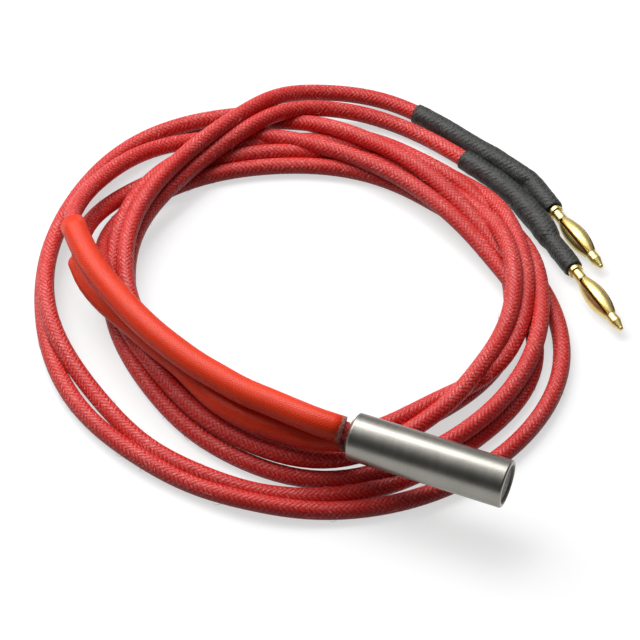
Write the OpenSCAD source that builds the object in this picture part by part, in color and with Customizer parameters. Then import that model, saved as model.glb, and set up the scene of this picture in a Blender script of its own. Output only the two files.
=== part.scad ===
// Cartridge heater: a sheathed heating element with two sleeved braid leads that lie in a loose
// coil and end in bullet plugs. Millimetres. The origin is the centre of the sheath's mouth, +X
// runs along the sheath to its closed end, and +Z is up from the table that the coil lies on.

/* [Sheath] */
// Outside diameter of the sheath
sheath_d = 6; // [5.5:0.1:8]
// Length of the sheath from its mouth to its closed end
sheath_l = 20; // [18:0.5:40]
// Wall of the sheath
sheath_wall = 0.5; // [0.3:0.05:0.6]
// Rounding of the sheath's outer edges
edge_r = 0.25; // [0.1:0.05:0.28]
// Thickness of the disc that closes the sheath
end_disc_t = 0.8; // [0.5:0.1:1.2]
// How far the disc lies inside the sheath's end
end_recess = 0.3; // [0.1:0.05:0.6]

/* [Heating element] */
// Thickness of the magnesia fill between the winding and the sheath
fill_wall = 0.6; // [0.4:0.05:0.7]
// Diameter of the resistance wire
wire_d = 0.3; // [0.2:0.02:0.4]
// Turns of resistance wire on the core
wire_turns = 12; // [8:1:14]
// Diameter of a terminal pin
pin_d = 0.7; // [0.5:0.05:0.8]
// Distance between the two terminal pins
pin_pitch = 1.4; // [1.2:0.05:1.6]
// Thickness of the ceramic washer behind the end disc
washer_t = 1; // [0.6:0.1:1.5]

/* [Mouth] */
// Depth of the cement seal inside the mouth
seal_depth = 2.5; // [1.5:0.1:3]
// How far the seal stands out of the mouth
seal_proud = 0.5; // [0.3:0.05:0.8]
// Distance between the two leads at the seal
lead_pitch = 2.4; // [2.35:0.05:2.6]
// Turn of the pair of leads about the sheath's axis, in degrees
lead_turn = 24; // [0:1:45]
// Outside diameter of a crimp ferrule
crimp_d = 1.7; // [1.5:0.05:1.9]
// Length of a crimp ferrule
crimp_l = 2.4; // [2:0.1:3]

/* [Leads and sleeves] */
// Diameter of a braided lead
lead_d = 2.3; // [2:0.05:2.35]
// Diameter of a lead's stranded conductor
conductor_d = 1; // [0.7:0.05:1.2]
// Outside diameter of a silicone sleeve
sleeve_d = 3.4; // [3.2:0.05:3.45]
// Wall of a silicone sleeve
sleeve_wall = 0.45; // [0.3:0.05:0.5]

/* [Coil] */
// Radius of the coil's innermost turn
coil_r = 25.25; // [25:0.05:25.4]
// Height of the sheath's axis over the table
axis_height = 8.5; // [8.5:0.05:8.8]

/* [Heat shrinks] */
// Wall of a heat-shrink tube
shrink_wall = 0.22; // [0.15:0.01:0.3]
// How much a heat-shrink tube swells over the end of the lead
shrink_swell = 0.1; // [0:0.01:0.15]

/* [Bullet plugs] */
// Outside diameter of the solder cup
cup_d = 2; // [1.8:0.05:2.1]
// Length of the solder cup
cup_l = 5; // [4:0.1:6]
// Wall of the solder cup
cup_wall = 0.3; // [0.2:0.02:0.35]
// Diameter of the collar next to the cup
collar_d = 2; // [1.8:0.05:2.1]
// Length of the collar
collar_l = 0.9; // [0.6:0.1:1.4]
// Diameter of the spindle that carries the spring
spindle_d = 1; // [0.8:0.05:1.1]
// Length of the lantern spring
spring_l = 9.5; // [8:0.1:11]
// Diameter of the lantern spring at its widest
spring_d = 2.9; // [2.4:0.05:2.95]
// Length of the spring's plain ring next to the collar
spring_tail_l = 1.3; // [0.6:0.1:2]
// Length of the spring's plain ring next to the nose
spring_tip_l = 0.7; // [0.5:0.1:1.2]
// Thickness of the spring's sheet
spring_t = 0.14; // [0.1:0.01:0.18]
// Number of leaves in the spring
leaves = 4; // [3:1:8]
// Width of the slot between two leaves
slot_w = 0.5; // [0.2:0.02:0.6]
// Length of the tapered nose
nose_l = 2; // [1.5:0.1:3.5]
// Diameter of the nose's tip
nose_tip_d = 0.7; // [0.4:0.05:0.9]

/* [Hidden] */
$fn = 48;

// Clearance between two pieces that fit together
fit = 0.02;
// Clearance of a piece that slides freely in another
slack = 0.05;

// Radius of the sheath's bore
bore_r = sheath_d / 2 - sheath_wall;
// Where the end disc and the washer start along the sheath
disc_x = sheath_l - end_recess - end_disc_t;
washer_x = disc_x - washer_t;
// The crimps lie between the seal and the core
crimp_x = seal_depth + 0.3;
core_x = crimp_x + crimp_l + 0.3;
core_l = washer_x - core_x;
// From the bore inwards: the fill, the winding's centreline, and the core under its flat steps
wire_steps = 12;
fill_r = bore_r - fit - fill_wall;
wind_r = fill_r - fit - wire_d / 2;
core_d = 2 * ((wind_r - wire_d / 2) * cos(180 / wire_steps) - fit);
// Length of wound core, with a margin at each end
wind_margin = 0.8;
wind_l = core_l - 2 * wind_margin;
// Where the conductors meet the pins inside the crimps
meet_x = crimp_x + crimp_l / 2;

// Place of a lead in the mouth, on side 1 (a) or -1 (b)
function lead_y(side) = -side * lead_pitch / 2 * sin(lead_turn);
function lead_z(side) = side * lead_pitch / 2 * cos(lead_turn);
// Place of a terminal pin, on the same side as its lead
function pin_y(side) = -side * pin_pitch / 2 * sin(lead_turn);
function pin_z(side) = side * pin_pitch / 2 * cos(lead_turn);

// The coil's centre on the table, and the heights of its layers
coil_centre = [-16, 24];
turn_pitch = lead_d - 0.1;
layer_rise = 0.83 * lead_d;
low_z = lead_d / 2 - axis_height;
high_z = low_z + layer_rise;
// Each lead leaves the coil on an arc of its own: radius, height and the bead that holds it
arc_d = lead_d + 0.2;
arc_a = [coil_r + 1.5 * turn_pitch + lead_d, high_z + 0.2];
arc_b = [coil_r + turn_pitch, high_z + layer_rise + 0.15];
// Bearings at which each lead joins its arc and leaves it, seen from the coil's centre
join_angle = 150;
leave_a = 140;
leave_b = 124;

// A point of the coil at a radius, bearing and height
function on_coil(r, a, z) = [coil_centre.x + r * cos(a), coil_centre.y + r * sin(a), z];
// A point some way along the straight run that leaves an arc, with the height given
function off_coil(arc, a, run, z) = on_coil(arc[0], a, z) + run * [sin(a), -cos(a), 0];

// Where each plug's collar starts, and the plug's bearing on the table
table_z = -axis_height;
plug_z = table_z + 1.5;
plug_a_at = [8.1, 53.7, plug_z];
plug_a_turn = -40;
plug_b_at = [14.2, 44, plug_z];
plug_b_turn = -41;
// The lead stops short of the solder cup by the bare wire that shows
bare_wire = 1.2;
// How far the middle of a leaf is turned from the top of its plug, in degrees
leaf_turn = -5;
function on_plug(at, turn, run) = at + run * [cos(turn), sin(turn), 0];

// Routes of the leads, each with a point beyond either end that only sets a direction
lead_x = -seal_proud - 0.1;
route_a = [[8, lead_y(1), lead_z(1)], [lead_x, lead_y(1), lead_z(1)], [-1.6, -0.8, 1.65],
    [-4, -0.9, 1.7], [-7, -0.5, 1.6], [-11, 0, 1.4], [-15, 0.6, 1.2], [-18.5, 1.5, 1.1],
    [-22.3, 2.6, 1], [-26.3, 4.1, 1], [-30.1, 5.8, 1], [-34.6, 8.3, 1], [-40.6, 12.5, 1],
    [-45.1, 16.4, 1], [-47.3, 19.3, 0.8], on_coil(32.6, 180, -0.3), on_coil(32.4, 173, -1.9),
    on_coil(31.9, 166, -3.6), on_coil(31.2, 158, -4.9), on_coil(arc_a[0], 153, arc_a[1]),
    on_coil(arc_a[0], join_angle, arc_a[1]), on_coil(arc_a[0], 147, arc_a[1])];
route_b = [[8, lead_y(-1), lead_z(-1)], [lead_x, lead_y(-1), lead_z(-1)], [-1.7, 0.2, -1.7],
    [-5.3, -0.5, -2], [-9.4, -0.5, -2.2], [-13.8, -0.2, -2.4], [-18, 0.8, -2.5],
    [-21.2, 2.3, -2.5], [-25.1, 4.5, -2.5], [-29.2, 6.3, -2.5], [-33.2, 8.2, -2.5],
    [-36.7, 9.8, -2.5], [-39.5, 11.2, -2.5], [-43, 14, -2.5], [-45.4, 17.1, -2.5],
    on_coil(30.4, 186, -2.6), on_coil(29.7, 178, -2.75), on_coil(28.6, 170, -3),
    on_coil(27.8, 162, -3.2), on_coil(arc_b[0], 154, arc_b[1]),
    on_coil(arc_b[0], join_angle, arc_b[1]), on_coil(arc_b[0], 146, arc_b[1])];
// Index of the points where the sleeves start and end on these routes
sleeve_from = 2;
sleeve_to = 14;

tail_route_a = [off_coil(arc_a, leave_a, -4, arc_a[1]), off_coil(arc_a, leave_a, 2 * slack, arc_a[1]),
    [-36.5, 48, -4.9], [-32.5, 52.8, -5.2], [-27.5, 57.5, -6.2], [-22, 61.3, -6.8],
    [-16.5, 63.8, plug_z], [-12.7, 63.7, plug_z], [-9.4, 62.7, plug_z], [-6.1, 61.6, plug_z],
    [-2.6, 60.5, plug_z], on_plug(plug_a_at, plug_a_turn, -cup_l - bare_wire - 1.5),
    on_plug(plug_a_at, plug_a_turn, -cup_l - bare_wire), on_plug(plug_a_at, plug_a_turn, -cup_l),
    on_plug(plug_a_at, plug_a_turn, 0), on_plug(plug_a_at, plug_a_turn, 1)];
tail_route_b = [off_coil(arc_b, leave_b, -4, arc_b[1]), off_coil(arc_b, leave_b, 2 * slack, arc_b[1]),
    [-27.5, 49.6, -3.1], [-23, 52.6, -3.15], [-18, 55.4, -4.6], [-13, 57.3, -5.5],
    [-8.5, 58, -6.6], [-4.5, 57.2, plug_z], [-1.7, 55.8, plug_z], [0.9, 54.2, plug_z],
    [3.6, 52.6, plug_z], on_plug(plug_b_at, plug_b_turn, -cup_l - bare_wire - 1.5),
    on_plug(plug_b_at, plug_b_turn, -cup_l - bare_wire), on_plug(plug_b_at, plug_b_turn, -cup_l),
    on_plug(plug_b_at, plug_b_turn, 0), on_plug(plug_b_at, plug_b_turn, 1)];
// Index of the points where the heat shrinks start and the leads end
shrink_from = 6;
tail_to = 12;
// Bore radius of a heat shrink at each of its points: over the lead, its end, and the cup
shrink_lead_r = lead_d / 2 + slack;
shrink_cup_r = (cup_d / 2 + slack) / cos(15);
shrink_bores = [shrink_lead_r, shrink_lead_r, shrink_lead_r, shrink_lead_r, shrink_lead_r,
    shrink_lead_r + shrink_swell, shrink_lead_r + shrink_swell, shrink_cup_r, shrink_cup_r];

lead_sides = 8;
tube_sides = 12;

// A vector made one long
function unit(v) = v / norm(v);
// Which way a route runs at one of its points
function heading(route, i) = unit(route[i + 1] - route[i - 1]);
// The ring of points round a route's point, level on its sides
function ring(route, i, r, sides) =
    let (ahead = heading(route, i), side = unit(cross(ahead, [0, 0, 1])), up = cross(side, ahead))
    [for (k = [0 : sides - 1])
        route[i] + r * (cos(k * 360 / sides) * side + sin(k * 360 / sides) * up)];
// The triangles of the skin between rings, the other way round for an inner skin
function skin(rings, sides, base, inner) = [for (i = [0 : rings - 2], k = [0 : sides - 1])
    let (a = base + i * sides + k, b = base + i * sides + (k + 1) % sides, c = b + sides,
        d = a + sides)
    each inner ? [[a, c, b], [a, d, c]] : [[a, b, c], [a, c, d]]];

// A solid cord along part of a route
module cord(route, from, to, d) {
    rings = to - from + 1;
    last = (rings - 1) * lead_sides;
    points = [for (i = [from : to]) each ring(route, i, d / 2, lead_sides)];
    start_cap = [for (k = [lead_sides - 1 : -1 : 0]) k];
    end_cap = [for (k = [0 : lead_sides - 1]) last + k];
    polyhedron(points, concat(skin(rings, lead_sides, 0, false), [start_cap, end_cap]));
}

// A hollow tube along part of a route, with its bore radius given at each point
module tube(route, from, bores, wall) {
    rings = len(bores);
    base = rings * tube_sides;
    last = base - tube_sides;
    outer = [for (i = [0 : rings - 1]) each ring(route, from + i, bores[i] + wall, tube_sides)];
    inner = [for (i = [0 : rings - 1]) each ring(route, from + i, bores[i], tube_sides)];
    ends = [for (k = [0 : tube_sides - 1]) let (n = (k + 1) % tube_sides)
        each [[base + k, base + n, n, k], [last + k, last + n, base + last + n, base + last + k]]];
    polyhedron(concat(outer, inner), concat(skin(rings, tube_sides, 0, false),
        skin(rings, tube_sides, base, true), ends));
}

// A profile drawn as (radius, distance along X) turned about the X axis
module turned() {
    rotate([0, 90, 0]) rotate_extrude() children();
}

// A plug's own axis, laid along the table from where its collar starts
module on_plug_axis(at, turn) {
    translate(at) rotate([0, 0, turn]) children();
}

module sheath() {
    color("silver") turned() {
        translate([bore_r, edge_r]) square([sheath_wall, sheath_l - 2 * edge_r]);
        translate([bore_r, 0]) square([sheath_wall - edge_r, sheath_l]);
        for (x = [edge_r, sheath_l - edge_r])
            translate([sheath_d / 2 - edge_r, x]) circle(edge_r);
    }
}

// The disc has a weld bead round its outer face, which fills the corner with the sheath
module end_disc() {
    bead = min(0.25, end_recess * 0.8);
    color("darkgray") turned() {
        translate([0, disc_x]) square([bore_r - fit, end_disc_t]);
        translate([bore_r - fit, disc_x + end_disc_t]) intersection() {
            circle(bead);
            translate([-bead, -bead]) square([bead, 2 * bead]);
        }
    }
}

module end_washer() {
    color("ivory") turned() translate([0, washer_x]) square([bore_r - slack, washer_t]);
}

module ceramic_core() {
    color("white") difference() {
        translate([core_x, 0, 0]) rotate([0, 90, 0]) cylinder(d = core_d, h = core_l);
        for (side = [1, -1])
            translate([core_x - 1, pin_y(side), pin_z(side)]) rotate([0, 90, 0])
                cylinder(d = pin_d + 2 * fit, h = core_l + 2);
    }
}

// The resistance wire is a helix swept round the core
module heating_wire() {
    sides = 6;
    count = wire_turns * wire_steps;
    rings = count + 1;
    points = [for (i = [0 : count]) let (a = i * 360 / wire_steps, out = [0, cos(a), sin(a)],
        x = core_x + wind_margin + wind_l * i / count)
        for (k = [0 : sides - 1]) let (b = k * 360 / sides)
            [x, 0, 0] + (wind_r + wire_d / 2 * cos(b)) * out + [wire_d / 2 * sin(b), 0, 0]];
    start_cap = [for (k = [sides - 1 : -1 : 0]) k];
    end_cap = [for (k = [0 : sides - 1]) count * sides + k];
    color("dimgray") polyhedron(points, concat(skin(rings, sides, 0, false),
        [start_cap, end_cap]));
}

module magnesia_fill() {
    color("whitesmoke") turned() translate([fill_r, core_x])
        square([fill_wall, core_l]);
}

module terminal_pin(side) {
    color("lightsteelblue") translate([meet_x + fit, pin_y(side), pin_z(side)])
        rotate([0, 90, 0]) cylinder(d = pin_d, h = washer_x - meet_x - 2 * fit);
}

// A ferrule with a stepped bore: wide for the conductor and narrow for the pin, which lies nearer
// the sheath's axis, so the narrow half is drilled off centre
module crimp(side) {
    waist = crimp_d - 0.2;
    color("tan") difference() {
        translate([0, lead_y(side), lead_z(side)]) turned() {
            translate([0, crimp_x]) square([waist / 2, crimp_l]);
            for (x = [crimp_x, crimp_x + crimp_l * 0.4, crimp_x + crimp_l * 0.8])
                translate([0, x]) square([crimp_d / 2, crimp_l * 0.2]);
        }
        translate([crimp_x - 1, lead_y(side), lead_z(side)]) rotate([0, 90, 0])
            cylinder(d = conductor_d + 2 * fit, h = meet_x - crimp_x + 1);
        translate([meet_x - fit, pin_y(side), pin_z(side)]) rotate([0, 90, 0])
            cylinder(d = pin_d + 2 * fit, h = crimp_l);
    }
}

module conductor(side) {
    color("orange") translate([-seal_proud, lead_y(side), lead_z(side)]) rotate([0, 90, 0])
        cylinder(d = conductor_d, h = meet_x + seal_proud);
}

// The seal is cement, domed where it stands out of the mouth, with a bore for each conductor
module mouth_seal() {
    shoulder = 0.25;
    color("rosybrown") difference() {
        turned() {
            square([bore_r - fit, seal_depth]);
            translate([0, -seal_proud]) square([bore_r - shoulder - seal_proud, seal_proud]);
            translate([bore_r - shoulder - seal_proud, 0]) intersection() {
                circle(seal_proud);
                translate([0, -seal_proud]) square(seal_proud);
            }
        }
        for (side = [1, -1])
            translate([-seal_proud - 1, lead_y(side), lead_z(side)]) rotate([0, 90, 0])
                cylinder(d = conductor_d + 2 * fit, h = seal_depth + seal_proud + 2);
    }
}

module sleeve(route) {
    bore = sleeve_d / 2 - sleeve_wall;
    color("orangered") tube(route, sleeve_from,
        [for (i = [sleeve_from : sleeve_to]) bore], sleeve_wall);
}

module lead(route) {
    color("firebrick") cord(route, 1, len(route) - 2, lead_d);
}

// The wound leads as one solid: turns in two layers, and the arcs that the free ends leave from
module lead_coil() {
    color("firebrick") translate([coil_centre.x, coil_centre.y, 0]) {
        rotate_extrude() {
            for (i = [0 : 3]) translate([coil_r + i * turn_pitch, low_z]) circle(d = lead_d);
            for (i = [0 : 1])
                translate([coil_r + (i + 0.5) * turn_pitch, high_z]) circle(d = lead_d);
        }
        rotate([0, 0, leave_a]) rotate_extrude(angle = join_angle - leave_a)
            translate(arc_a) circle(d = arc_d);
        rotate([0, 0, leave_b]) rotate_extrude(angle = join_angle - leave_b)
            translate(arc_b) circle(d = arc_d);
    }
}

module tail(route) {
    color("firebrick") cord(route, 1, tail_to, lead_d);
}

module heat_shrink(route) {
    color("darkslategray") tube(route, shrink_from, shrink_bores, shrink_wall);
}

// The bare wire that goes from the lead's end to the bottom of the solder cup
module wire_end(at, turn) {
    color("goldenrod") on_plug_axis(at, turn) translate([-cup_l - bare_wire, 0, 0])
        rotate([0, 90, 0]) cylinder(d = conductor_d, h = bare_wire + cup_l - 1);
}

// The plug is turned in one piece: solder cup, collar, neck, spindle and tapered nose
module plug_body(at, turn) {
    neck_d = (collar_d + spindle_d) / 2;
    nose_x = collar_l + spring_l;
    tip_r = nose_tip_d / 2;
    color("gold") on_plug_axis(at, turn) turned() difference() {
        union() {
            translate([0, -cup_l]) square([cup_d / 2, cup_l]);
            square([collar_d / 2, collar_l * 0.7]);
            square([neck_d / 2, collar_l]);
            square([spindle_d / 2, nose_x]);
            translate([0, nose_x]) polygon([[0, 0], [neck_d / 2, 0], [neck_d / 2, 0.5],
                [tip_r, nose_l - tip_r], [0, nose_l - tip_r]]);
            translate([0, nose_x + nose_l - tip_r]) intersection() {
                circle(tip_r);
                square(tip_r);
            }
        }
        translate([0, -cup_l - 1]) square([cup_d / 2 - cup_wall, cup_l]);
    }
}

// The lantern spring: a bowed sheet between two rings on the spindle, slotted into leaves
module plug_spring(at, turn) {
    ring_r = spindle_d / 2 + slack;
    ring_t = spring_t + 0.06;
    bow_x = collar_l + fit + spring_tail_l;
    bow_l = spring_l - spring_tail_l - spring_tip_l - 2 * fit;
    slot_l = bow_l - 0.4;
    rise = spring_d / 2 - spring_t - ring_r;
    bow_r = (bow_l * bow_l / 4 + rise * rise) / (2 * rise);
    middle = bow_x + bow_l / 2;
    color("khaki") on_plug_axis(at, turn) difference() {
        turned() {
            translate([ring_r, bow_x - spring_tail_l]) square([ring_t, spring_tail_l]);
            translate([ring_r, bow_x + bow_l]) square([ring_t, spring_tip_l]);
            translate([0, middle]) intersection() {
                translate([ring_r + rise - bow_r, 0]) difference() {
                    circle(bow_r + spring_t, $fn = 96);
                    circle(bow_r, $fn = 96);
                }
                translate([ring_r, -bow_l / 2 - 0.1]) square([spring_d, bow_l + 0.2]);
            }
        }
        for (k = [0 : leaves - 1])
            rotate([leaf_turn + (k + 0.5) * 360 / leaves, 0, 0])
                translate([middle - slot_l / 2, -slot_w / 2, 0])
                    cube([slot_l, slot_w, spring_d]);
    }
}

sheath();
end_disc();
end_washer();
ceramic_core();
heating_wire();
magnesia_fill();
terminal_pin(1);  // terminal_pin_a
terminal_pin(-1);  // terminal_pin_b
crimp(1);  // crimp_a
crimp(-1);  // crimp_b
conductor(1);  // conductor_a
conductor(-1);  // conductor_b
mouth_seal();
sleeve(route_a);  // sleeve_a
sleeve(route_b);  // sleeve_b
lead(route_a);  // lead_a
lead(route_b);  // lead_b
lead_coil();
tail(tail_route_a);  // tail_a
tail(tail_route_b);  // tail_b
heat_shrink(tail_route_a);  // heat_shrink_a
heat_shrink(tail_route_b);  // heat_shrink_b
wire_end(plug_a_at, plug_a_turn);  // wire_end_a
wire_end(plug_b_at, plug_b_turn);  // wire_end_b
plug_body(plug_a_at, plug_a_turn);  // plug_body_a
plug_body(plug_b_at, plug_b_turn);  // plug_body_b
plug_spring(plug_a_at, plug_a_turn);  // plug_spring_a
plug_spring(plug_b_at, plug_b_turn);  // plug_spring_b
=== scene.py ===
import math
import random
from types import SimpleNamespace

import bpy
from mathutils import Matrix, Vector, geometry, kdtree, noise


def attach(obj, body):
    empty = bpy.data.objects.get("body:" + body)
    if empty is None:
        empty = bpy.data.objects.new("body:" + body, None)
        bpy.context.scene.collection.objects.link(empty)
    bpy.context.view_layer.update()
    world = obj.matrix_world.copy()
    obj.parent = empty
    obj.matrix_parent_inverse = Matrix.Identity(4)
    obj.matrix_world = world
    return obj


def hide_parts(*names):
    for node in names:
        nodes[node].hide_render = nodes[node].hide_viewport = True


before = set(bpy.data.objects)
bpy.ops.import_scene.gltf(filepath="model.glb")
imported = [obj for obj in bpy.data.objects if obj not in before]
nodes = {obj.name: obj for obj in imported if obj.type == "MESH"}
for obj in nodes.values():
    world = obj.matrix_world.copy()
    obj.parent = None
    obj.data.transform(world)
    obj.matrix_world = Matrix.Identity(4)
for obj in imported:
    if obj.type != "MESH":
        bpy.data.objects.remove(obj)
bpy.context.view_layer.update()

# Lengths below are in millimetres, and a piece becomes metres when its object is made.
MM = 0.001
TABLE = -8.5
SHEATH_R = 3.0
SHEATH_L = 20.0
LEAD_R = 1.15
SLEEVE_R = 1.7
SLEEVE_WALL = 0.45
SHRINK_R = 1.66
SHRINK_WALL = 0.22
BARE_WIRE = 1.2
CUP_L = 5.0
SPINDLE_R = 0.5
SPINDLE_MARGIN = 0.02
CAGE_END = 10.4

# How finely the round pieces are made: points along them, and sides around them.
POINT_STEP = 1.5
SHRINK_STEP = 0.25
SPAN_POINTS = 24
LEAD_SIDES = 20
SLEEVE_SIDES = 32
SHRINK_SIDES = 40
FIBRE_SIDES = 4

# Yarns around a woven tube, and the length of its pattern.
BRAID_YARNS = 10.0
BRAID_PITCH = 0.66
KNIT_YARNS = 24.0
KNIT_PITCH = 0.45
PRINT_YARNS = 8.0
PRINT_PITCH = 0.8

# How far a sleeve's end is frayed at least, and how much farther where it is most ragged.
FRAY_LEAST = 0.2
FRAY_RAGGED = 0.5

# Each lead runs from the seal in the mouth, through its sleeve, round the coil and along its tail to
# its plug. The stations of its turns are a radius and a height, at every 30 degrees clockwise from
# the west. Its heat shrink starts at a point of the tail, and has a radius by the distance back from
# the plug's collar: it hugs the solder cup, necks in over the bare wire and swells over the lead's end.
COIL_CENTRE = Vector((-18, 26, 0))
STATION_ANGLE = 30
lead_a = SimpleNamespace(
    side="a",
    stands_for=("lead_a", "tail_a", "lead_coil"),
    sleeved=[
        (-0.6, -0.49, 1.1), (-1.1, -0.6, 1.27), (-4.2, -0.9, 1.7), (-7, -0.6, 1.6), (-11, 0, 1.4),
        (-15, 0.6, 1.2), (-18.5, 1.5, 1.1), (-22.3, 2.6, 1), (-26.3, 4.1, 1), (-30.1, 5.8, 1),
        (-34.6, 8.3, 1), (-40.6, 12.3, 1), (-44.5, 15.7, 1), (-47.6, 19.1, 0.8),
    ],
    turns=[
        [(32, -1), (33.1, -5), (30, -7.1), (25.25, -5.4), (24.2, -5.2), (27.4, -6.25),
         (33.3, -7.3), (33.8, -7.3), (35, -7.3), (34.2, -7.2), (31.8, -7.2), (33.7, -5.4)],
        [(34.7, -5.2), (35.9, -5.25), (34.9, -7), (30.4, -7.3), (30, -5.9), (31.3, -5.2),
         (32.7, -5.2), (33.3, -5.2), (32.8, -7.1), (28.6, -7.3), (25.25, -7.3), (25.25, -7.3)],
        [(27, -5.4), (29.75, -5.9), (30.4, -7.3), (30.4, -7.3), (30.3, -6.2), (30.3, -4.3),
         (29.4, -5.4), (27, -5.2), (27.6, -5.2), (22.5, -5.2), (21.9, -5.2), (23, -5.25)],
        [(24.8, -3.2), (27.4, -3), (35.2, -3.4)],
    ],
    tail=[
        (-34.4, 59.4, -4.6), (-29.1, 63.5, -6.2), (-24.3, 65.7, -7), (-18.8, 65.8, -7.2),
        (-15.6, 64.8, -7), (-12.3, 63.6, -7), (-7.1, 61.6, -7), (-1.8, 59.7, -7),
    ],
    shrink_from=4,
    shrink_l=31.0,
    shrink_form=[
        (0, 1.25), (0.35, 1.36), (1.6, 1.42), (4.6, 1.42), (5.8, 1.4), (7, 1.5), (9, 1.58),
        (13, 1.56), (18, 1.48), (40, 1.42),
    ],
    plug=Vector((8.1, 53.7, -7)),
    plug_turn=math.radians(-40),
)
lead_b = SimpleNamespace(
    side="b",
    stands_for=("lead_b", "tail_b"),
    sleeved=[
        (-0.6, 0.49, -1.1), (-1.1, 0.37, -1.35), (-5.3, -0.5, -2), (-9.4, -0.5, -2.2),
        (-13.8, -0.2, -2.4), (-18, 0.8, -2.5), (-21.2, 2.3, -2.5), (-25.1, 4.5, -2.5),
        (-29.2, 6.3, -2.5), (-33.2, 8.2, -2.5), (-36.7, 9.8, -2.5), (-39.5, 11.2, -2.5),
        (-42.6, 13.35, -2.5), (-45.4, 16.3, -2.6),
    ],
    turns=[
        [(31.1, -5), (29.5, -7.3), (28.25, -7.3), (27.8, -7.3), (28.2, -6.2), (28.75, -3.85),
         (28.5, -4.75), (28.5, -5.2), (31.5, -4.8), (27.25, -5.2), (23.75, -5.2), (24.5, -5.2)],
        [(28.75, -6.85), (27, -7.3), (25.1, -7.3), (25.2, -7.3), (25.6, -7.3), (31.4, -7.3),
         (36.7, -7.3), (38, -7.3), (37.3, -7.3), (34.6, -7.3), (34.7, -7.3), (34.2, -7.3)],
        [(35.6, -7.3), (37.1, -7.3), (34.8, -7.1), (29, -5.2), (26.4, -4.8), (28.1, -6.55),
         (29, -7.3), (27.1, -7.3), (27, -7.3), (23, -7.3), (21.3, -7.3), (22.8, -7.25)],
        [(24.6, -5.4), (26, -4.4), (32.7, -4.3)],
    ],
    tail=[
        (-31.5, 57.8, -5.3), (-28, 60.4, -6.2), (-22.8, 62, -7), (-17.1, 61.8, -7.3),
        (-12.1, 60.6, -7.2), (-6.9, 58.6, -7), (-3.5, 57.3, -6.9), (0.2, 55.6, -6.8),
        (3.8, 53.2, -6.8), (6.7, 50.8, -6.8),
    ],
    shrink_from=5,
    shrink_l=29.0,
    shrink_form=[
        (0, 1.24), (0.35, 1.33), (1.6, 1.37), (4.4, 1.36), (5.6, 1.33), (7, 1.6), (8, 1.72),
        (12, 1.72), (16, 1.6), (21, 1.5), (40, 1.44),
    ],
    plug=Vector((14.2, 44, -7)),
    plug_turn=math.radians(-41),
)
LEADS = (lead_a, lead_b)

# How the strands settle: in each round a point sinks by a length and mends a share of each fault.
# Its near neighbours on its own strand don't push it, and a few points past a sleeve and at a plug
# stay put.
SETTLE_ROUNDS = 150
SOFTEN_ROUNDS = 8
SINK = 0.01
EVEN_OUT = 0.3
PULL_BACK = 0.12
SLACK_IN_DEPTH = 0.09
PART_IN_DEPTH = 0.3
PART_ASIDE = 0.25
NEAR_NEIGHBOURS = 5
HELD_PAST_SLEEVE = 2
HELD_AT_PLUG = 3

# The wrinkles of a heat shrink: how many to the millimetre, and how far they rise or cut in.
WAVES = 0.55
SMALL_WAVES = 1.5
SMALL_WAVE_SHARE = 0.6
WAVE_RISE = 0.07
CREASES = 2.6
CREASE_SHIFT = Vector((7, 3, 1))
CREASE_FROM = 0.25
CREASE_DEPTH = 0.2

# The loose fibres of a braid. The rows of the form are shares of a fibre's rise, reach and radius.
FIBRE_COUNT = 240
FIBRE_SEED = 5
FIBRE_R = 0.022
FIBRE_ROOT = 0.03
FIBRE_SWING = 0.9
FIBRE_RISE = (0.05, 0.24)
FIBRE_REACH = (0.4, 1.3)
FIBRE_FORM = [(0, 0, 1), (1, 0.35, 0.9), (1.2, 0.7, 0.7), (0.7, 1, 0.4)]
FIBRE_CLEAR = 0.02

# The camera looks down at the coil from the front left, at the photograph's angle. Its place is
# found from the middle of the sheath.
CAMERA_AZIMUTH = math.radians(22.5)
CAMERA_ELEVATION = math.radians(47)
CAMERA_ASIDE = -13.33
CAMERA_RISE = 16.97
CAMERA_DISTANCE = 300
FOCAL_LENGTH = 139.2
SENSOR_WIDTH = 36
NEAREST_SEEN = 10

UPWARD = Vector((0, 0, 1))
right = Vector((math.cos(CAMERA_AZIMUTH), math.sin(CAMERA_AZIMUTH), 0))
ahead = Vector((-math.sin(CAMERA_AZIMUTH), math.cos(CAMERA_AZIMUTH), 0))
view = math.cos(CAMERA_ELEVATION) * ahead - math.sin(CAMERA_ELEVATION) * UPWARD
up = math.sin(CAMERA_ELEVATION) * ahead + math.cos(CAMERA_ELEVATION) * UPWARD
aim = Vector((SHEATH_L / 2, 0, 0)) + CAMERA_ASIDE * right + CAMERA_RISE * up
eye = aim - CAMERA_DISTANCE * view
lens = bpy.data.cameras.new("camera")
lens.lens = FOCAL_LENGTH
lens.sensor_width = SENSOR_WIDTH
lens.clip_start = NEAREST_SEEN * MM
camera = bpy.data.objects.new("camera", lens)
bpy.context.collection.objects.link(camera)
facing = Matrix((right, up, -view)).transposed().to_4x4()
camera.matrix_world = Matrix.Translation(eye * MM) @ facing
bpy.context.scene.camera = camera


def coil_points(turns):
    """The stations of a lead's turns as points, clockwise from the west."""
    points = []
    for turn in turns:
        for radius, height in turn:
            bearing = math.radians(180 - STATION_ANGLE * len(points))
            offset = Vector((radius * math.cos(bearing), radius * math.sin(bearing), height))
            points.append(COIL_CENTRE + offset)
    return points


def lead_end(lead):
    """Where a lead ends, behind the solder cup of its plug and the bare wire."""
    along = Vector((math.cos(lead.plug_turn), math.sin(lead.plug_turn), 0))
    return lead.plug + (-CUP_L - BARE_WIRE) * along


def line_length(line):
    return sum((b - a).length for a, b in zip(line, line[1:]))


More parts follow.
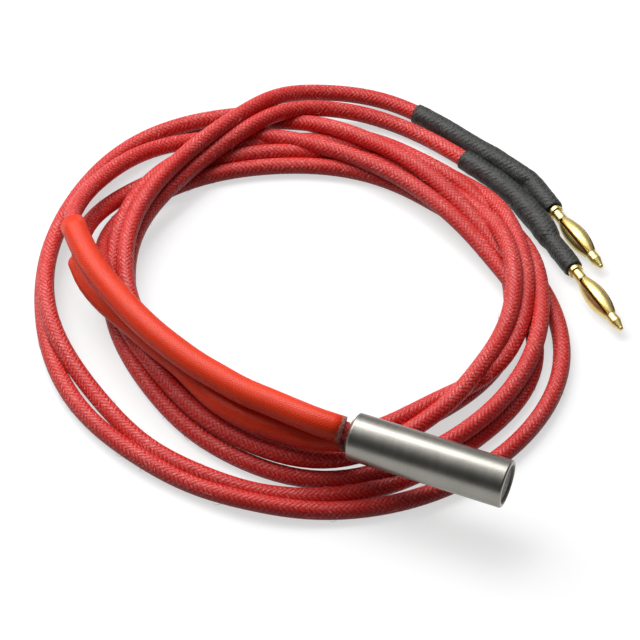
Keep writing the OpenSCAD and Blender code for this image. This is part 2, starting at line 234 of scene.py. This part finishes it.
def smooth_line(points, step):
    """A smooth line through the points, as points an even step apart."""
    points = [Vector(point) for point in points]
    fine = [points[0]]
    for i in range(len(points) - 1):
        before = points[max(i - 1, 0)]
        start = points[i]
        end = points[i + 1]
        after = points[min(i + 2, len(points) - 1)]
        reach = (end - start).length / 3
        leave = start + (end - before).normalized() * reach
        arrive = end - (after - start).normalized() * reach
        fine += geometry.interpolate_bezier(start, leave, arrive, end, SPAN_POINTS)[1:]
    length = line_length(fine)
    count = round(length / step)
    even = [fine[0]]
    walked = 0.0
    for a, b in zip(fine, fine[1:]):
        piece = (b - a).length
        while len(even) < count and walked + piece >= len(even) * length / count:
            share = (len(even) * length / count - walked) / piece
            even.append(a.lerp(b, share))
        walked += piece
    return even + [fine[-1]]


def settle(strands, held):
    """Lets the strands lie over and under each other: points that lie too close part in depth.

    A strand has its points, their radii, and how many points at each end stay put. held are
    points of the sleeves and the sheath with their radii, which nothing moves. Each point keeps
    its place in the photograph: it moves mostly along the line of sight, down to what it rests on.
    """
    places = []
    radii = []
    owner = []
    order = []
    free = []
    for number, (line, widths, first, last) in enumerate(strands):
        places += [point.copy() for point in line]
        radii += widths
        owner += [number] * len(line)
        order += range(len(line))
        free += [first <= i < len(line) - last for i in range(len(line))]
    wished = [point.copy() for point in places]
    near = -view
    for step in range(SETTLE_ROUNDS):
        tree = kdtree.KDTree(len(places) + len(held))
        for i, point in enumerate(places):
            tree.insert(point, i)
        for i, (point, radius) in enumerate(held):
            tree.insert(point, len(places) + i)
        tree.balance()
        moves = [Vector() for point in places]
        for i, point in enumerate(places):
            if not free[i]:
                continue
            even = (places[i - 1] + places[i + 1]) / 2 - point
            back = wished[i] - point
            moves[i] += (SINK * view + EVEN_OUT * even + PULL_BACK * back
                         - SLACK_IN_DEPTH * back.dot(near) * near)
            for other, j, distance in tree.find_range(point, LEAD_R + SHEATH_R):
                apart = point - other
                if j < len(places):
                    if owner[i] == owner[j] and abs(order[i] - order[j]) < NEAR_NEIGHBOURS:
                        continue
                    needed = radii[i] + radii[j]
                    share = 0.5 if free[j] else 1.0
                    above = (wished[i] - wished[j]).dot(near)
                else:
                    needed = radii[i] + held[j - len(places)][1]
                    share = 1.0
                    above = (wished[i] - other).dot(near)
                if distance >= needed or distance == 0:
                    continue
                depth = apart.dot(near)
                flat = apart - depth * near
                wanted = math.copysign(math.sqrt(max(needed ** 2 - flat.length_squared, 0)), above)
                moves[i] += near * (PART_IN_DEPTH * share * (wanted - depth))
                moves[i] += flat * (PART_ASIDE * share * (needed - distance) / distance)
        for i, point in enumerate(places):
            point += moves[i]
            lowest = TABLE + radii[i]
            if free[i] and point.z < lowest:
                point += near * ((lowest - point.z) / near.z)
    settled = []
    for line, widths, first, last in strands:
        settled.append(soften(places[:len(line)], first, last))
        places = places[len(line):]
    return settled


def soften(line, first, last):
    """Evens out the bends of a line, but for its first and last points."""
    for step in range(SOFTEN_ROUNDS):
        evened = [point.copy() for point in line]
        for i in range(first, len(line) - last):
            evened[i] = (line[i - 1] + 2 * line[i] + line[i + 1]) / 4
        line = evened
    return line


def first_covered(lead):
    """Which of a lead's points lies where its heat shrink starts."""
    start = Vector(lead.tail[lead.shrink_from])
    return min(range(len(lead.line)), key=lambda i: (lead.line[i] - start).length)


def lead_radii(lead):
    """A lead's radius at each of its points, with the heat shrink's where that covers it."""
    covered = first_covered(lead)
    return [LEAD_R] * covered + [SHRINK_R] * (len(lead.line) - covered)


for lead in LEADS:
    route = lead.sleeved + coil_points(lead.turns) + lead.tail + [lead_end(lead)]
    lead.line = smooth_line(route, POINT_STEP)
    lead.sleeve_line = smooth_line(lead.sleeved[1:], POINT_STEP)
    lead.bare_from = len(lead.sleeve_line) + HELD_PAST_SLEEVE
held = [(point, SLEEVE_R) for lead in LEADS for point in lead.sleeve_line]
held += [(Vector((x, 0, 0)), SHEATH_R) for x in range(1, int(SHEATH_L))]
strands = [(lead.line, lead_radii(lead), lead.bare_from, HELD_AT_PLUG) for lead in LEADS]
for lead, line in zip(LEADS, settle(strands, held)):
    lead.line = line


def round_curve(name, lines, radius, sides, radii=None, caps=False):
    """A curve with a round section, with a spline along each line of points."""
    curve = bpy.data.curves.new(name, "CURVE")
    curve.dimensions = "3D"
    curve.bevel_depth = radius * MM
    curve.bevel_resolution = (sides - 4) // 2
    curve.use_fill_caps = caps
    curve.twist_mode = "MINIMUM"
    for line in lines:
        spline = curve.splines.new("POLY")
        spline.points.add(len(line) - 1)
        for i, (knot, point) in enumerate(zip(spline.points, line)):
            knot.co = (*(point * MM), 1)
            if radii:
                knot.radius = radii[i] / radius
        spline.use_smooth = True
    piece = bpy.data.objects.new(name, curve)
    bpy.context.collection.objects.link(piece)
    return piece


def as_mesh(guide):
    """The mesh of a curve, as a piece with the curve's name."""
    bpy.context.view_layer.update()
    shaped = guide.evaluated_get(bpy.context.evaluated_depsgraph_get())
    mesh = bpy.data.meshes.new_from_object(shaped)
    name = guide.name
    bpy.data.objects.remove(guide)
    mesh.name = name
    piece = bpy.data.objects.new(name, mesh)
    bpy.context.collection.objects.link(piece)
    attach(piece, "root")
    return piece


def tube(name, line, radii, sides, wall):
    """A tube along a line of points, whose wall a Solidify adds inwards."""
    piece = as_mesh(round_curve(name, [line], 1.0, sides, radii))
    thicken = piece.modifiers.new("wall", "SOLIDIFY")
    thicken.thickness = wall * MM
    thicken.offset = -1
    thicken.use_even_offset = True
    return piece


def braided_lead(name, lead):
    return as_mesh(round_curve(name, [lead.line], LEAD_R, LEAD_SIDES, caps=True))


def silicone_sleeve(name, lead):
    """A sleeve over the start of a lead, with a rim that shows its glass lining."""
    radii = [SLEEVE_R] * len(lead.sleeve_line)
    piece = tube(name, lead.sleeve_line, radii, SLEEVE_SIDES, SLEEVE_WALL)
    piece.modifiers["wall"].material_offset_rim = 1
    return piece


def at_distance(form, distance):
    """A radius from a table of distances and radii, eased between its rows."""
    for (near, small), (far, large) in zip(form, form[1:]):
        if distance <= far:
            share = (distance - near) / (far - near)
            return small + (large - small) * share * share * (3 - 2 * share)
    return form[-1][1]


def shrink_tube(name, lead):
    """A heat shrink over a lead's end and its solder cup, with the wrinkles of its shrinking."""
    covered = lead.line[first_covered(lead):]
    path = smooth_line(covered + [lead.plug.lerp(covered[-1], 0.5), lead.plug], SHRINK_STEP)
    backs = [line_length(path[i:]) for i in range(len(path))]
    radii = [at_distance(lead.shrink_form, back) for back in backs]
    piece = tube(name, path, radii, SHRINK_SIDES, SHRINK_WALL)
    for vertex in piece.data.vertices:
        place = vertex.co / MM
        wave = noise.noise(place * WAVES) + SMALL_WAVE_SHARE * noise.noise(place * SMALL_WAVES)
        crease = max(0.0, noise.noise(place * CREASES + CREASE_SHIFT) - CREASE_FROM)
        vertex.co += vertex.normal * (WAVE_RISE * wave - CREASE_DEPTH * crease) * MM
    return piece


def braid_fuzz(name, lead, draw):
    """Stray glass fibres that stand out of a braid and lie over along it."""
    line = lead.line[lead.bare_from:first_covered(lead)]
    fibres = []
    while len(fibres) < FIBRE_COUNT:
        i = draw.randrange(1, len(line) - 1)
        along = (line[i + 1] - line[i - 1]).normalized()
        side = along.orthogonal().normalized()
        out = Matrix.Rotation(draw.uniform(0, math.tau), 3, along) @ side
        swing = draw.uniform(-FIBRE_SWING, FIBRE_SWING)
        over = Matrix.Rotation(swing, 3, out) @ (along * draw.choice((-1, 1)))
        rise = draw.uniform(*FIBRE_RISE)
        reach = draw.uniform(*FIBRE_REACH)
        root = line[i].lerp(line[i + 1], draw.random()) + out * (LEAD_R - FIBRE_ROOT)
        fibre = [root + out * rise * lift + over * reach * run for lift, run, width in FIBRE_FORM]
        if min(point.z for point in fibre) > TABLE + FIBRE_CLEAR:
            fibres.append(fibre)
    radii = [width * FIBRE_R for lift, run, width in FIBRE_FORM]
    return as_mesh(round_curve(name, fibres, FIBRE_R, FIBRE_SIDES, radii))


draw = random.Random(FIBRE_SEED)
for lead in LEADS:
    side = lead.side
    lead.braid = braided_lead(f"braided_lead_{side}", lead)
    lead.sleeve = silicone_sleeve(f"silicone_sleeve_{side}", lead)
    lead.shrink = shrink_tube(f"shrink_tube_{side}", lead)
    lead.fuzz = braid_fuzz(f"braid_fuzz_{side}", lead, draw)
    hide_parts(*lead.stands_for)
    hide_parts(f"sleeve_{side}")
    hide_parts(f"heat_shrink_{side}")
    lead.plug_pieces = [nodes[f"plug_body_{side}"], nodes[f"plug_spring_{side}"]]
    Vector(lead.sleeved[0]) * MM
    [point * MM for point in lead.line]
    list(lead.plug_pieces)


def feed(tree, socket, value):
    """Links a socket to another's output, or sets its value."""
    if isinstance(value, bpy.types.NodeSocket):
        tree.links.new(value, socket)
    else:
        socket.default_value = value


def coordinates(tree, kind):
    return tree.nodes.new("ShaderNodeTexCoord").outputs[kind]


def split_axes(tree, place):
    step = tree.nodes.new("ShaderNodeSeparateXYZ")
    feed(tree, step.inputs[0], place)
    return step.outputs


def join_axes(tree, x, y, z):
    step = tree.nodes.new("ShaderNodeCombineXYZ")
    for socket, value in zip(step.inputs, (x, y, z)):
        feed(tree, socket, value)
    return step.outputs[0]


def math_step(tree, operation, *values):
    step = tree.nodes.new("ShaderNodeMath")
    step.operation = operation
    for socket, value in zip(step.inputs, values):
        feed(tree, socket, value)
    return step.outputs[0]


def vector_step(tree, operation, *values):
    """The outputs of a step with vectors: a Vector, or the Value of a length or a dot product."""
    step = tree.nodes.new("ShaderNodeVectorMath")
    step.operation = operation
    for socket, value in zip(step.inputs, values):
        feed(tree, socket, value)
    return step.outputs


def spread(tree, value, low, high, to_low, to_high):
    """A value's run from low to high, stretched to another run and held there."""
    step = tree.nodes.new("ShaderNodeMapRange")
    for socket, given in zip(step.inputs, (value, low, high, to_low, to_high)):
        feed(tree, socket, given)
    return step.outputs[0]


def cloud(tree, place, detail):
    """Soft noise at a place, from 0 to 1."""
    step = tree.nodes.new("ShaderNodeTexNoise")
    feed(tree, step.inputs["Vector"], place)
    feed(tree, step.inputs["Scale"], 1.0)
    feed(tree, step.inputs["Detail"], detail)
    return spread(tree, step.outputs[0], 0.3, 0.7, 0.0, 1.0)


def blend_colours(tree, share, first, second):
    step = tree.nodes.new("ShaderNodeMix")
    step.data_type = "RGBA"
    feed(tree, step.inputs[0], share)
    for socket, colour in ((step.inputs[6], first), (step.inputs[7], second)):
        feed(tree, socket, colour if isinstance(colour, bpy.types.NodeSocket) else (*colour, 1))
    return step.outputs[2]


def new_group(name, inputs, outputs):
    """A node group, with the outputs of its input node and the inputs of its output node."""
    tree = bpy.data.node_groups.new(name, "ShaderNodeTree")
    for label, value in inputs.items():
        kind = "NodeSocketVector" if isinstance(value, tuple) else "NodeSocketFloat"
        socket = tree.interface.new_socket(label, in_out="INPUT", socket_type=kind)
        socket.default_value = value
    for label in outputs:
        tree.interface.new_socket(label, in_out="OUTPUT", socket_type="NodeSocketFloat")
    given = tree.nodes.new("NodeGroupInput").outputs
    made = tree.nodes.new("NodeGroupOutput").inputs
    return tree, given, made


def use_group(tree, group, **values):
    step = tree.nodes.new("ShaderNodeGroup")
    step.node_tree = group
    for label, value in values.items():
        feed(tree, step.inputs[label], value)
    return step.outputs


def grain_group():
    """Grain of a size in millimetres, drawn out by a stretch along each axis."""
    tree, given, made = new_group("grain", {"Size": 1.0, "Stretch": (1, 1, 1)}, ["Grain"])
    drawn = vector_step(tree, "DIVIDE", coordinates(tree, "Object"), given["Stretch"])["Vector"]
    scale = math_step(tree, "DIVIDE", 1 / MM, given["Size"])
    sized = vector_step(tree, "MULTIPLY", drawn, scale)["Vector"]
    feed(tree, made["Grain"], cloud(tree, sized, 3.0))
    return tree


def weave_group():
    """Two lays of yarn that cross round a tube two over, two under, on its UV map."""
    tree, given, made = new_group("weave", {"Around": 8.0, "Along": 1000.0}, ["Height", "Streak"])
    place = split_axes(tree, coordinates(tree, "UV"))
    run = math_step(tree, "MULTIPLY", place["X"], given["Along"])
    turn = math_step(tree, "MULTIPLY", place["Y"], given["Around"])
    lays = [math_step(tree, "ADD", run, turn), math_step(tree, "SUBTRACT", run, turn)]
    columns = math_step(tree, "SUBTRACT", *[math_step(tree, "FLOOR", lay) for lay in lays])
    over = math_step(tree, "LESS_THAN", math_step(tree, "FLOORED_MODULO", columns, 4.0), 2.0)
    under = math_step(tree, "SUBTRACT", 1.0, over)
    ways = []
    for upper, lower in (lays, reversed(lays)):
        hidden = math_step(tree, "MULTIPLY", lower, under)
        ways.append(math_step(tree, "MULTIPLY_ADD", upper, over, hidden))
    across, along = ways
    arches = []
    for way in ways:
        half_turn = math_step(tree, "MULTIPLY", math_step(tree, "FRACT", way), math.pi)
        arches.append(math_step(tree, "SINE", half_turn))
    crown = math_step(tree, "MULTIPLY_ADD", arches[1], 0.3, 0.7)
    feed(tree, made["Height"], math_step(tree, "MULTIPLY", arches[0], crown))
    threads = join_axes(
        tree, math_step(tree, "MULTIPLY", across, 5.0), math_step(tree, "MULTIPLY", along, 0.9),
        math_step(tree, "MULTIPLY", over, 7.3))
    feed(tree, made["Streak"], cloud(tree, threads, 1.0))
    return tree


def fray_group():
    """The first stretch of a tube of a length in millimetres, whose edge a torn value makes ragged."""
    tree, given, made = new_group("fray", {"Length": 1.0, "Torn": 0.0}, ["Frayed"])
    place = split_axes(tree, coordinates(tree, "UV"))
    run = math_step(tree, "MULTIPLY", place["X"], given["Length"])
    edge = math_step(tree, "MULTIPLY_ADD", given["Torn"], FRAY_RAGGED, FRAY_LEAST)
    feed(tree, made["Frayed"], math_step(tree, "LESS_THAN", run, edge))
    return tree


def cage_shade_group():
    """Where the painted shade inside a plug's cage goes: faces towards the plug's axis, and the
    spindle.
    """
    none = (0, 0, 0)
    tree, given, made = new_group("cage", {"Place": none, "Turn": none, "Normal": none}, ["Inside"])
    local = tree.nodes.new("ShaderNodeMapping")
    local.vector_type = "TEXTURE"
    feed(tree, local.inputs["Location"], given["Place"])
    feed(tree, local.inputs["Rotation"], given["Turn"])
    feed(tree, local.inputs["Vector"], coordinates(tree, "Object"))
    place = split_axes(tree, local.outputs[0])
    across = join_axes(tree, 0.0, place["Y"], place["Z"])
    radius = vector_step(tree, "LENGTH", across)["Value"]
    spindle = math_step(tree, "LESS_THAN", radius, (SPINDLE_R + SPINDLE_MARGIN) * MM)
    caged = math_step(tree, "LESS_THAN", place["X"], CAGE_END * MM)
    faced = tree.nodes.new("ShaderNodeMapping")
    faced.vector_type = "TEXTURE"
    feed(tree, faced.inputs["Rotation"], given["Turn"])
    feed(tree, faced.inputs["Vector"], given["Normal"])
    outward = vector_step(tree, "DOT_PRODUCT", faced.outputs[0], across)["Value"]
    lining = math_step(tree, "LESS_THAN", outward, 0.0)
    inside = math_step(tree, "MAXIMUM", lining, math_step(tree, "MULTIPLY", spindle, caged))
    feed(tree, made["Inside"], inside)
    return tree


grain = grain_group()
weave = weave_group()
fray = fray_group()
cage = cage_shade_group()


def new_material(name):
    material = bpy.data.materials.new(name)
    material.use_nodes = True
    return material, material.node_tree, material.node_tree.nodes["Principled BSDF"].inputs


def raise_surface(tree, shader, height, depth):
    """Relief from a height of 0 to 1, as deep as depth in millimetres."""
    bump = tree.nodes.new("ShaderNodeBump")
    bump.inputs["Distance"].default_value = depth * MM
    feed(tree, bump.inputs["Height"], height)
    feed(tree, shader["Normal"], bump.outputs[0])


def grained(name, dark, light, patch, fine, gloss, depth, metallic=0.0, stretch=(1, 1, 1)):
    """A finish whose colour drifts in patches, and whose fine grain changes its gloss and relief."""
    material, tree, shader = new_material(name)
    drift = use_group(tree, grain, Size=patch)["Grain"]
    grit = use_group(tree, grain, Size=fine, Stretch=stretch)["Grain"]
    both = math_step(tree, "MULTIPLY_ADD", grit, 0.4, math_step(tree, "MULTIPLY", drift, 0.6))
    feed(tree, shader["Base Color"], blend_colours(tree, both, dark, light))
    feed(tree, shader["Roughness"], spread(tree, grit, 0.0, 1.0, gloss[0], gloss[1]))
    shader["Metallic"].default_value = metallic
    raise_surface(tree, shader, grit, depth)
    return material


def glass_braid(name, length):
    """Red glass yarn in a round braid, painted darker in the grooves between the yarns as shade. The
    pale streaks on the crowns of the yarns are partly snapped fibres and partly a painted sheen.
    """
    material, tree, shader = new_material(name)
    yarn = use_group(tree, weave, Around=BRAID_YARNS, Along=length / BRAID_PITCH)
    worn = use_group(tree, grain, Size=7.0)["Grain"]
    drift = use_group(tree, grain, Size=15.0)["Grain"]
    crown = spread(tree, yarn["Height"], 0.05, 0.7, 0.0, 1.0)
    lacquer = blend_colours(tree, drift, (0.58, 0.012, 0.009), (0.70, 0.020, 0.013))
    # Painted shade: the yarns are painted darker down in the grooves between them.
    cloth_painted_groove_shade = blend_colours(tree, crown, (0.40, 0.006, 0.005), lacquer)
    # Pale streaks on the yarn crowns, in patches: partly snapped glass fibres, partly a painted sheen.
    fibres_and_sheen = math_step(tree, "MULTIPLY", spread(tree, yarn["Streak"], 0.42, 1.0, 0.0, 1.0), crown)
    pale = math_step(tree, "MULTIPLY", fibres_and_sheen, spread(tree, worn, 0.1, 0.9, 0.3, 1.0))
    feed(tree, shader["Base Color"], blend_colours(tree, pale, cloth_painted_groove_shade, (0.88, 0.27, 0.25)))
    shader["Roughness"].default_value = 0.47
    shader["Specular IOR Level"].default_value = 0.38
    relief = math_step(tree, "MULTIPLY_ADD", yarn["Streak"], 0.4, yarn["Height"])
    raise_surface(tree, shader, relief, 0.045)
    return material


def coated_sleeve(name, length):
    """Orange-red silicone over a fine knit that shows as rows of dots, frayed to glass at the mouth."""
    material, tree, shader = new_material(name)
    knit = use_group(tree, weave, Around=KNIT_YARNS, Along=length / KNIT_PITCH)["Height"]
    drift = use_group(tree, grain, Size=5.0)["Grain"]
    rubber = blend_colours(tree, drift, (0.80, 0.036, 0.003), (0.90, 0.052, 0.005))
    coat = blend_colours(tree, knit, (0.64, 0.026, 0.003), rubber)
    torn = use_group(tree, grain, Size=0.7)["Grain"]
    frayed = use_group(tree, fray, Length=length, Torn=torn)["Frayed"]
    threads = use_group(tree, grain, Size=0.2)["Grain"]
    glass = blend_colours(tree, threads, (0.33, 0.10, 0.08), (0.78, 0.42, 0.36))
    feed(tree, shader["Base Color"], blend_colours(tree, frayed, coat, glass))
    feed(tree, shader["Roughness"], spread(tree, drift, 0.0, 1.0, 0.38, 0.50))
    shader["Specular IOR Level"].default_value = 0.33
    raise_surface(tree, shader, knit, 0.022)
    return material


def shrunk_rubber(name, length):
    """Dark polyolefin that has shrunk on to the braid: the weave and fine creases print through."""
    material, tree, shader = new_material(name)
    print_through = use_group(tree, weave, Around=PRINT_YARNS, Along=length / PRINT_PITCH)["Height"]
    drift = use_group(tree, grain, Size=1.4)["Grain"]
    crease = use_group(tree, grain, Size=0.22)["Grain"]
    worn = math_step(tree, "MULTIPLY_ADD", crease, 0.5, math_step(tree, "MULTIPLY", drift, 0.5))
    rubber = blend_colours(tree, worn, (0.008, 0.008, 0.0075), (0.050, 0.050, 0.047))
    feed(tree, shader["Base Color"], rubber)
    feed(tree, shader["Roughness"], spread(tree, drift, 0.0, 1.0, 0.42, 0.62))
    relief = math_step(tree, "MULTIPLY_ADD", crease, 0.7, print_through)
    raise_surface(tree, shader, relief, 0.05)
    return material


def plug_gold_painted_shade(name, lead):
    """Gold plate with painted shade: dark brown inside the cage of a lead's plug."""
    material = grained(
        name, (0.66, 0.49, 0.16), (0.88, 0.74, 0.33), patch=1.8, fine=0.12, gloss=(0.28, 0.45),
        depth=0.006, metallic=1.0)
    tree = material.node_tree
    shader = tree.nodes["Principled BSDF"].inputs
    plated = shader["Base Color"].links[0].from_socket
    normal = tree.nodes.new("ShaderNodeNewGeometry").outputs["Normal"]
    inside = use_group(
        tree, cage, Place=lead.plug * MM, Turn=(0, 0, lead.plug_turn), Normal=normal)["Inside"]
    # Painted shade: inside the cage, where shade falls among the leaves, the gold is painted dark
    # brown.
    feed(tree, shader["Base Color"], blend_colours(tree, inside, plated, (0.30, 0.15, 0.025)))
    return material


def dress(piece, *materials):
    piece.data.materials.clear()
    for material in materials:
        piece.data.materials.append(material)


lining = grained(
    "sleeve_lining", (0.42, 0.20, 0.17), (0.68, 0.44, 0.39), patch=0.6, fine=0.12,
    gloss=(0.8, 0.95), depth=0.05)
loose_fibre = grained(
    "loose_fibre", (0.62, 0.10, 0.10), (0.85, 0.45, 0.45), patch=3.0, fine=0.4,
    gloss=(0.5, 0.7), depth=0.005)
for lead in LEADS:
    side = lead.side
    dress(lead.braid, glass_braid(f"glass_braid_{side}", line_length(lead.line)))
    dress(lead.sleeve, coated_sleeve(f"silicone_sleeve_{side}", line_length(lead.sleeve_line)), lining)
    dress(lead.shrink, shrunk_rubber(f"heat_shrink_{side}", lead.shrink_l))
    dress(lead.fuzz, loose_fibre)
    gold = plug_gold_painted_shade(f"plug_gold_painted_shade_{side}", lead)
    for piece in lead.plug_pieces:
        dress(piece, gold)

ground_steel = grained(
    "ground_steel", (0.25, 0.242, 0.216), (0.32, 0.31, 0.28), patch=4.0, fine=0.1,
    gloss=(0.30, 0.42), depth=0.003, metallic=1.0, stretch=(1, 40, 40))
# The end disc is dark partly as the tint of its weld and partly as painted shade, so its face looks
# shaded.
welded_end_painted_shade = grained(
    "welded_end_painted_shade", (0.09, 0.085, 0.08), (0.22, 0.20, 0.18), patch=0.9, fine=0.14,
    gloss=(0.45, 0.7), depth=0.03, metallic=0.8)
cement = grained(
    "sealing_cement", (0.22, 0.10, 0.08), (0.48, 0.29, 0.24), patch=0.8, fine=0.14,
    gloss=(0.8, 1.0), depth=0.06)
ceramic = grained(
    "fired_ceramic", (0.70, 0.66, 0.57), (0.84, 0.81, 0.74), patch=2.2, fine=0.2,
    gloss=(0.45, 0.7), depth=0.02)
magnesia = grained(
    "packed_magnesia", (0.72, 0.71, 0.66), (0.90, 0.89, 0.86), patch=0.7, fine=0.12,
    gloss=(0.85, 1.0), depth=0.05)
heated_wire = grained(
    "resistance_wire", (0.20, 0.18, 0.16), (0.52, 0.49, 0.45), patch=1.1, fine=0.08,
    gloss=(0.3, 0.5), depth=0.004, metallic=1.0)
nickel = grained(
    "nickel", (0.50, 0.46, 0.40), (0.68, 0.64, 0.57), patch=1.5, fine=0.1,
    gloss=(0.22, 0.4), depth=0.004, metallic=1.0, stretch=(8, 1, 1))
copper = grained(
    "stranded_copper", (0.48, 0.20, 0.10), (0.80, 0.44, 0.27), patch=0.5, fine=0.16,
    gloss=(0.25, 0.45), depth=0.03, metallic=1.0, stretch=(6, 1, 1))
FINISHES = {
    "sheath": ground_steel, "end_disc": welded_end_painted_shade, "end_washer": ceramic, "ceramic_core": ceramic,
    "heating_wire": heated_wire, "magnesia_fill": magnesia, "terminal_pin": nickel, "crimp": nickel,
    "conductor": copper, "wire_end": copper, "mouth_seal": cement,
}
for name, node in nodes.items():
    for start, finish in FINISHES.items():
        if name.startswith(start):
            dress(node, finish)


def floor_paper():
    """White paper to the camera and in metal, that throws little light back and keeps a soft shadow."""
    material, tree, shader = new_material("floor_paper")
    rays = tree.nodes.new("ShaderNodeLightPath").outputs
    mirrored = math_step(tree, "MAXIMUM", rays["Is Glossy Ray"], rays["Is Transmission Ray"])
    seen = math_step(tree, "MAXIMUM", rays["Is Camera Ray"], mirrored)
    paper = blend_colours(tree, seen, (0.12, 0.12, 0.12), (0.42, 0.42, 0.42))
    feed(tree, shader["Base Color"], paper)
    shader["Emission Color"].default_value = (1, 1, 1, 1)
    feed(tree, shader["Emission Strength"], math_step(tree, "MULTIPLY", seen, 0.6))
    shader["Roughness"].default_value = 0.95
    shader["Specular IOR Level"].default_value = 0.0
    return material


# The floor and the light are in metres, as Blender has them.
FLOOR_SIZE = 20
LIT_PLACE = Vector((-0.015, 0.025, 0))

bpy.ops.mesh.primitive_plane_add(size=FLOOR_SIZE, location=(0, 0, TABLE * MM))
floor = bpy.context.object
floor.name = "floor"
dress(floor, floor_paper())


def sky_direction(swing, tilt):
    """The way to a place in the sky, by degrees: to the left from straight behind, and upwards."""
    swing = math.radians(swing)
    tilt = math.radians(tilt)
    over_ground = math.cos(swing) * ahead - math.sin(swing) * right
    return math.cos(tilt) * over_ground + math.sin(tilt) * UPWARD


def soft_lamp(name, way, distance, size, energy):
    """A square lamp that faces the middle of the coil."""
    light = bpy.data.lights.new(name, "AREA")
    light.energy = energy
    light.size = size
    lamp = bpy.data.objects.new(name, light)
    lamp.location = LIT_PLACE + distance * way
    lamp.rotation_euler = (-way).to_track_quat("-Z", "Y").to_euler()
    bpy.context.collection.objects.link(lamp)


def room_light(brightest):
    """A room that glows around its brightest direction and is dim on the other sides."""
    world = bpy.data.worlds.new("world")
    bpy.context.scene.world = world
    world.use_nodes = True
    tree = world.node_tree
    towards = vector_step(tree, "DOT_PRODUCT", coordinates(tree, "Generated"), brightest)["Value"]
    glow = spread(tree, towards, 0.45, 1.0, 0.0, 1.0)
    background = tree.nodes["Background"].inputs
    feed(tree, background["Color"], blend_colours(tree, glow, (0.07, 0.07, 0.07), (1, 1, 1)))
    background["Strength"].default_value = 0.9


# One soft lamp stands at the left of the coil and one behind it, and the room glows between them.
soft_lamp("left_lamp", sky_direction(50, 52), distance=0.3, size=0.24, energy=0.80)
soft_lamp("back_lamp", sky_direction(2, 62), distance=0.4, size=0.2, energy=0.55)
room_light(sky_direction(25, 54))
bpy.context.scene.view_settings.view_transform = "Standard"

bpy.context.view_layer.update()
